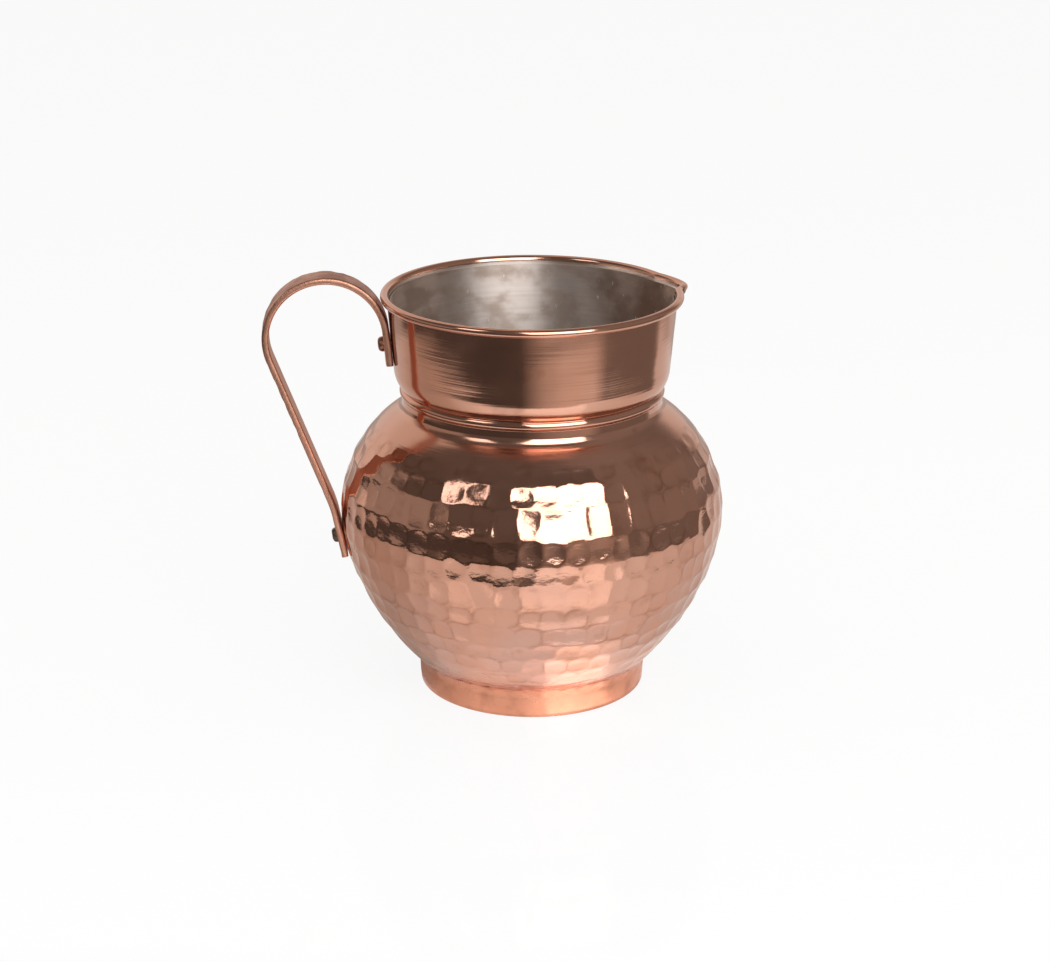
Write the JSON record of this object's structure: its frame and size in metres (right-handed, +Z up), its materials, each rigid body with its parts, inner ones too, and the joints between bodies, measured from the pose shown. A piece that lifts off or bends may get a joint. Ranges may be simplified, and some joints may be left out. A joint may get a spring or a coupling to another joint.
{
  "type": "pitcher",
  "caption": "Round-bellied copper pitcher with a tinned inside, flared neck, rolled rim with a pinched pouring lip, foot ring and riveted strap handle, for serving water.",
  "frame": {"origin": "on the ground, under the middle of the whole object's box; the vessel's axis stands 13.4 mm along +X from it", "axes": "+Z up along the vessel's axis, -X towards the handle, +X towards the pouring lip"},
  "size_m": [0.1668, 0.14, 0.1553],
  "materials": {
    "hammered_copper": "polished, with round hammer marks on the belly and fine turned lines on the neck",
    "wiped_tin": "wiped tin, streaky and half dull",
    "wire_copper": "drawn, dull",
    "foot_copper": "satin, unhammered",
    "soft_solder": "dull",
    "strap_copper": "satin, with a planished outer face",
    "rivet_copper": "satin, slightly brown"
  },
  "bodies": {
    "root": {"vessel_body": "hammered_copper", "tin_lining": "wiped_tin", "rim_wire": "wire_copper", "foot_ring": "foot_copper", "foot_solder": "soft_solder", "handle_strap": "strap_copper", "upper_rivet": "rivet_copper", "lower_rivet": "rivet_copper"}
  },
  "joints": []
}
